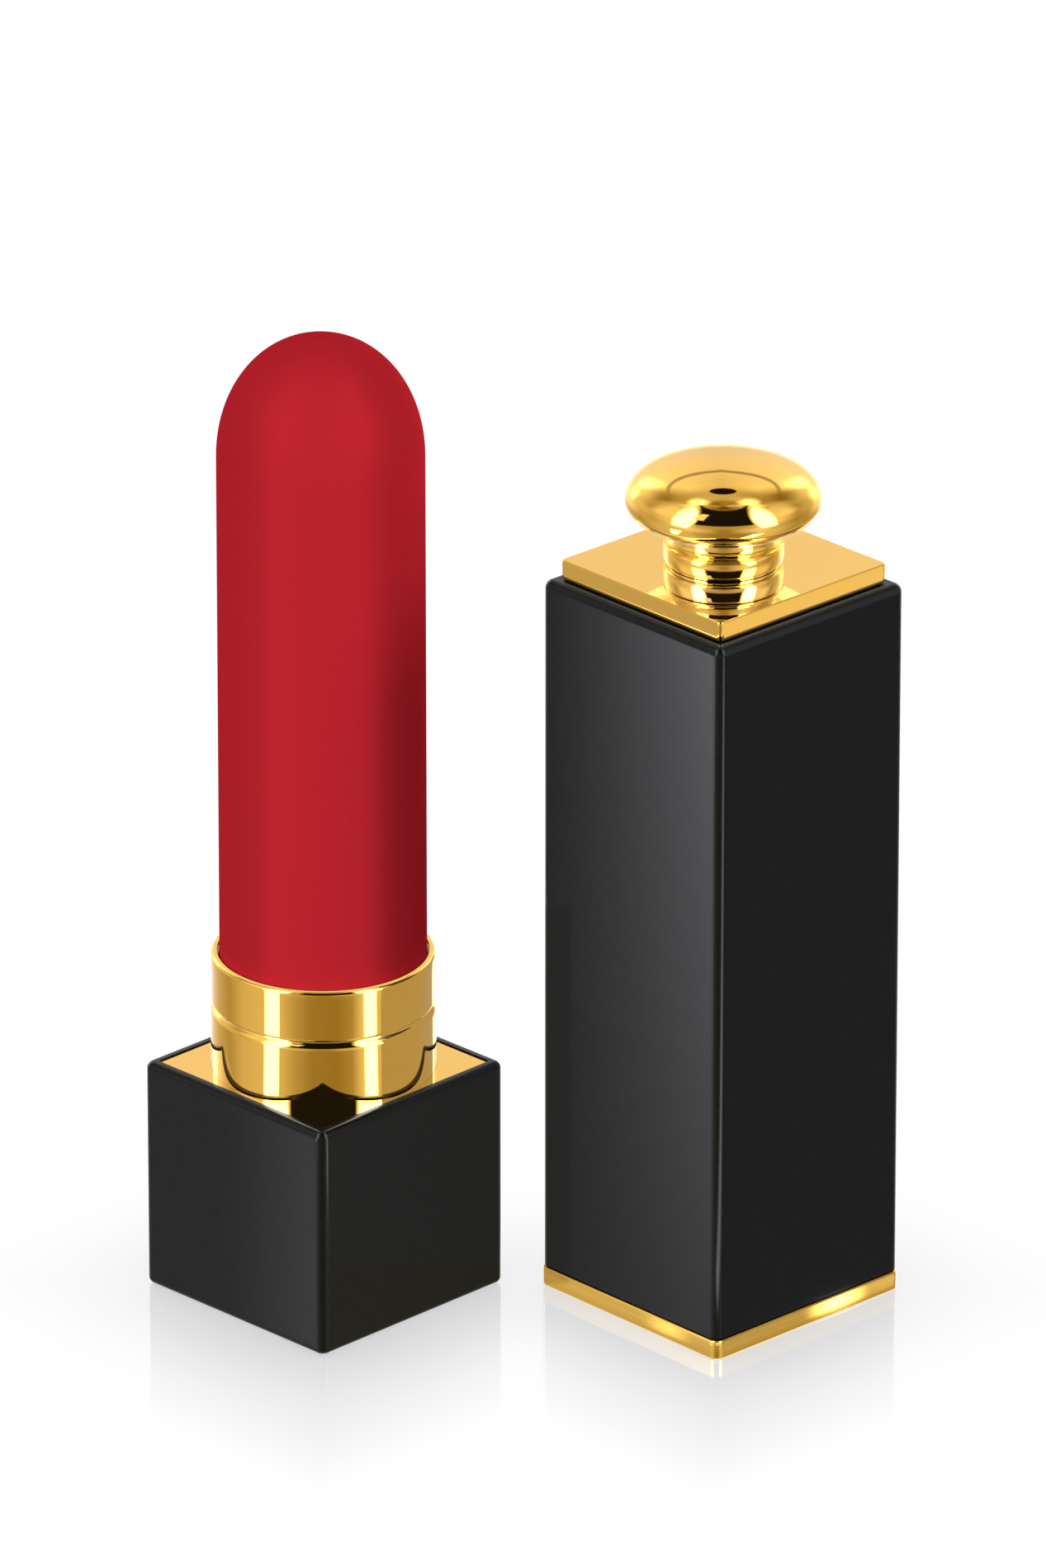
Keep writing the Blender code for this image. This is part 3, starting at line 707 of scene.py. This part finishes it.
# Brightness of the studio by azimuth from the camera, in rings from the floor up to the ceiling.
RINGS = (
    (-22, ((-180, 1.60), (-160, 0.95), (-135, 0.58), (-112, 0.40), (-90, 0.66), (-68, 0.74), (-42, 0.70),
           (-30, 0.48), (-12, 0.30), (14, 0.27), (30, 0.38), (42, 0.90), (66, 0.72), (90, 0.42),
           (112, 0.38), (135, 0.62), (150, 1.60), (180, 2.20))),
    (-8, ((-180, 2.60), (-158, 1.50), (-140, 1.30), (-112, 0.62), (-90, 0.52), (-62, 0.80), (-42, 1.05),
          (-20, 0.66), (-5, 0.30), (5, 0.30), (20, 0.66), (40, 1.08), (62, 0.66), (88, 0.34),
          (108, 0.42), (128, 1.00), (150, 1.70), (180, 2.80))),
    (10, ((-180, 0.86), (-148, 1.25), (-136, 2.60), (-126, 0.90), (-92, 0.62), (-66, 0.90), (-40, 0.90),
          (-30, 0.50), (0, 0.42), (30, 0.52), (40, 0.90), (66, 0.95), (92, 0.42), (122, 0.66),
          (136, 2.40), (148, 1.25), (180, 0.86))),
    (27, ((-180, 0.94), (-158, 1.20), (-148, 3.20), (-138, 1.20), (-118, 0.66), (-104, 0.42), (-88, 1.05),
          (-60, 1.00), (60, 1.00), (88, 1.05), (104, 0.38), (118, 0.62), (138, 1.00), (148, 3.20),
          (158, 1.20), (180, 0.94))),
    (50, ((-180, 0.82), (-158, 1.15), (-134, 0.36), (-118, 0.24), (-104, 0.62), (-86, 1.05),
          (-60, 1.00), (60, 1.00), (86, 0.90), (104, 0.66), (118, 0.20), (134, 0.24), (158, 1.15),
          (180, 0.82))),
    (64, ((-180, 0.68), (-156, 0.60), (-120, 0.45), (-98, 0.70), (-60, 0.60), (60, 0.60), (98, 0.50),
          (120, 0.36), (156, 0.50), (180, 0.68))),
    (73, ((-180, 0.56), (-150, 0.70), (-120, 3.60), (-90, 1.20), (-58, 0.36), (58, 0.40), (90, 1.40),
          (120, 3.60), (150, 0.75), (180, 0.56))),
    (82, ((-180, 0.30), (-130, 0.16), (-95, 0.50), (-50, 0.26), (-20, 0.12), (20, 0.12), (50, 0.28),
          (95, 0.80), (130, 0.30), (180, 0.30))),
)
DARK = (0.01, 0.01, 0.01, 1)
BRIGHT = (STRIP_GLOW, STRIP_GLOW, STRIP_GLOW, 1)
PATCH = (1.2, 1.2, 1.2, 1)
DIFFUSE_SHARE = 0.03


def put_window_and_strips(node, seen, azimuth, elevation, sideways):
    """The dark window ahead, the two bright strips that frame it, and a bright patch in its corner."""
    reach = node.math("ABSOLUTE", sideways)
    in_front = node.without(node.step(node.math("ABSOLUTE", azimuth), 90, 104))
    inner = node.math("SUBTRACT", 0.66, node.product(elevation, 0.0047))
    outer = node.math("SUBTRACT", 0.88, node.product(elevation, elevation, 0.00011))
    past_inner = node.math("SUBTRACT", reach, inner)
    within_outer = node.math("SUBTRACT", outer, reach)
    strips = node.product(node.step(past_inner, -0.02, 0.03), node.step(within_outer, -0.02, 0.03),
                          node.band(elevation, -4, 71, 4), in_front)
    seen = node.mix(strips, seen, BRIGHT)
    within_inner = node.math("SUBTRACT", inner, reach)
    window = node.product(node.step(within_inner, 0.02, 0.05), node.band(elevation, 15, 77, 2.5), in_front)
    seen = node.mix(window, seen, DARK)
    patch = node.product(node.band(azimuth, -40, -27, 1.5), node.band(elevation, 36, 60, 2))
    return node.mix(patch, seen, PATCH)


def put_hole_and_seam(node, seen, direction, azimuth, elevation):
    """High behind: a round dark hole, and a thin dark seam that sags below it."""
    rise = math.radians(61)
    hole_axis = Vector((0, 0, math.sin(rise))) - TOWARDS * math.cos(rise)
    rim, centre = math.cos(math.radians(5.6)), math.cos(math.radians(4.8))
    seen = node.mix(node.step(node.dot(direction, hole_axis), rim, centre), seen, DARK)
    from_back = node.math("SUBTRACT", 180.0, node.math("ABSOLUTE", azimuth))
    sag = node.math("SUBTRACT", elevation, node.math("ADD", 34.0, node.product(from_back, 0.37)))
    seam = node.product(node.band(sag, -1.3, 1.3, 0.8), node.without(node.step(from_back, 26, 52)), 0.6)
    return node.mix(seam, seen, DARK)


def make_world():
    """White to the camera; to everything else a light tent with two soft strips and a dark window."""
    world = bpy.data.worlds.new("studio")
    bpy.context.scene.world = world
    world.use_nodes = True
    tree = world.node_tree
    tree.nodes.clear()
    node = NodeMath(tree)
    direction = node.output("TexCoord", "Generated")
    azimuth = node.azimuth(direction)
    elevation = node.product(node.math("ARCSINE", node.dot(direction, (0, 0, 1))), math.degrees(1))

    seen = node.ramp(azimuth, RINGS[0][1], -180, 180)
    for (lower, _), (upper, stops) in zip(RINGS, RINGS[1:]):
        seen = node.mix(node.step(elevation, lower, upper), seen, node.ramp(azimuth, stops, -180, 180))
    seen = put_window_and_strips(node, seen, azimuth, elevation, node.dot(direction, RIGHT))
    seen = put_hole_and_seam(node, seen, direction, azimuth, elevation)

    studio = tree.nodes.new("ShaderNodeBackground")
    node.put(studio.inputs["Color"], seen)
    backdrop = tree.nodes.new("ShaderNodeBackground")
    backdrop.inputs["Color"].default_value = (1, 1, 1, 1)
    path = tree.nodes.new("ShaderNodeLightPath")
    dimming = node.product(path.outputs["Is Diffuse Ray"], 1 - DIFFUSE_SHARE)
    node.put(studio.inputs["Strength"], node.without(dimming))
    node.finish(node.blend(path.outputs["Is Camera Ray"], studio.outputs["Background"],
                           backdrop.outputs["Background"]), "World")


def only_mirrored(item):
    """Leave a stage item to the mirror rays alone."""
    item.visible_camera = False
    item.visible_diffuse = False
    item.visible_shadow = False
    item.visible_transmission = False


CARD_GAP = 1.5
CARD_RIM_TOP = 0.7
CARD_PLATE_BOTTOM = 61.6


def add_card(name, body, face, half, height, axis, turn, glow):
    """A one-sided card of light just in front of a casing's face, which moves with that casing.

    `face` is "left" (the -Y side) or "right" (the +X side); `glow` makes the brightness from the place
    along the face (0 at its far end, 1 at the front edge) and the height in millimetres.
    """
    material, node = empty_material(name)
    reach = half + CARD_GAP
    overhang, front_inset, foot = 0.5, 0.9, -0.5
    far, near = -reach - overhang, half - front_inset
    corners = ((far, height), (near, height), (near, foot), (far, foot))
    builder = bmesh.new()
    if face == "left":
        points = [(along * MM, -reach * MM, z * MM) for along, z in corners]
        run_axis = (1 / MM, 0, 0)
    else:
        points = [(reach * MM, -along * MM, z * MM) for along, z in corners[::-1]]
        run_axis = (0, -1 / MM, 0)
    builder.faces.new([builder.verts.new(point) for point in points])
    card = link_mesh(name, builder, material)
    card.matrix_world = Matrix.Translation(axis * MM) @ Matrix.Rotation(turn, 4, "Z")
    only_mirrored(card)
    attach(card, body)

    place = node.output("TexCoord", "Object")
    run = node.dot(place, run_axis)
    along = node.math("DIVIDE", node.math("SUBTRACT", run, -reach), near + reach)
    node.finish(node.one_sided(node.emission(glow(node, along, node.dot(place, (0, 0, 1 / MM))))))


def by_height(node, height, rim, casing, plate):
    """The rim's, the casing's or the top plate's brightness, whichever is at that height."""
    is_rim = node.math("LESS_THAN", height, CARD_RIM_TOP)
    is_plate = node.math("GREATER_THAN", height, CARD_PLATE_BOTTOM)
    return node.choose(is_plate, plate, node.choose(is_rim, rim, casing))


def base_left_glow(node, along, _height):
    return node.math("ADD", 0.57, node.product(node.step(along, 0.35, 1.05), 0.7))


def cap_left_glow(node, along, height):
    """Brighter to the front edge and to the top; the rim has a soft spot of its own."""
    down = node.without(node.math("DIVIDE", height, SHELL_TOP))
    sink = node.without(node.product(node.math("POWER", down, 0.8), 0.78))
    slope = node.product(node.math("POWER", along, 1.35), 3.0)
    casing = node.math("ADD", 0.5, node.product(slope, sink))
    rim = node.math("ADD", 0.66, node.band(along, 0.64, 0.78, 0.08))
    return by_height(node, height, rim, casing, 0.55)


def cap_right_glow(node, along, height):
    """Even and dim on the casing, with a bright spot a third of the way in from the rim's far end."""
    spot = node.product(node.band(along, 0.26, 0.42, 0.10), 6.0)
    end = node.product(node.without(node.step(along, 0.1, 0.5)), 0.3)
    rim = node.math("ADD", node.math("ADD", 0.55, end), spot)
    return by_height(node, height, rim, 0.30, 0.9)


def make_cards():
    base_axis, base_top, cap_top = Vector((0, 0, 0)), BASE_TOP - 1.5, TOP_PLATE_TOP - 1.1
    add_card("card_base_left", "base", "left", BASE_HALF, base_top, base_axis, 0, base_left_glow)
    add_card("card_cap_left", "cap", "left", CAP_HALF, cap_top, CAP_AXIS, CAP_TURN, cap_left_glow)
    add_card("card_cap_right", "cap", "right", CAP_HALF, cap_top, CAP_AXIS, CAP_TURN, cap_right_glow)


def make_wall_for_base():
    """A glowing sheet that only mirrors see, which paints a grey studio wall's reflection into the base's
    mirrors and hides the cap from them: the two were shot apart.
    """
    half, foot, top = CAP_HALF * math.sqrt(2) - 0.45, 0.1, 34
    # Its grey is emission on a black surface, not lit colour: a painted reflection of a wall, seen only by
    # mirror rays.
    wall = surface("painted_wall_reflection", (0.0, 0.0, 0.0), 1.0, Emission_Color=(0.48, 0.46, 0.42, 1),
                   Emission_Strength=1.0, Specular_IOR_Level=0.0)
    middle = CAP_AXIS - RIGHT * (half + 0.2)
    corners = ((-half, foot), (half, foot), (half, top), (-half, top))
    builder = bmesh.new()
    builder.faces.new([builder.verts.new((middle + TOWARDS * side) * MM + Vector((0, 0, z * MM)))
                       for side, z in corners])
    sheet = link_mesh("wall_reflection_for_base", builder, wall)
    only_mirrored(sheet)
    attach(sheet, "cap")


def make_studio():
    make_world()
    make_floor()
    make_table_glow()
    make_cards()
    make_wall_for_base()
    for name, (azimuth, elevation, size, power) in LIGHTS.items():
        add_light(name, azimuth, elevation, size, power)
    make_camera()
    scene = bpy.context.scene
    scene.view_settings.view_transform = "Standard"
    scene.view_settings.look = "None"


make_base_casing()
make_inset_plate()
make_label()
make_collar()
make_stick()
make_cap_casing()
make_cap_rim()
make_cap_plate()
make_neck()
make_knob()
paint_hidden_pieces()
make_studio()
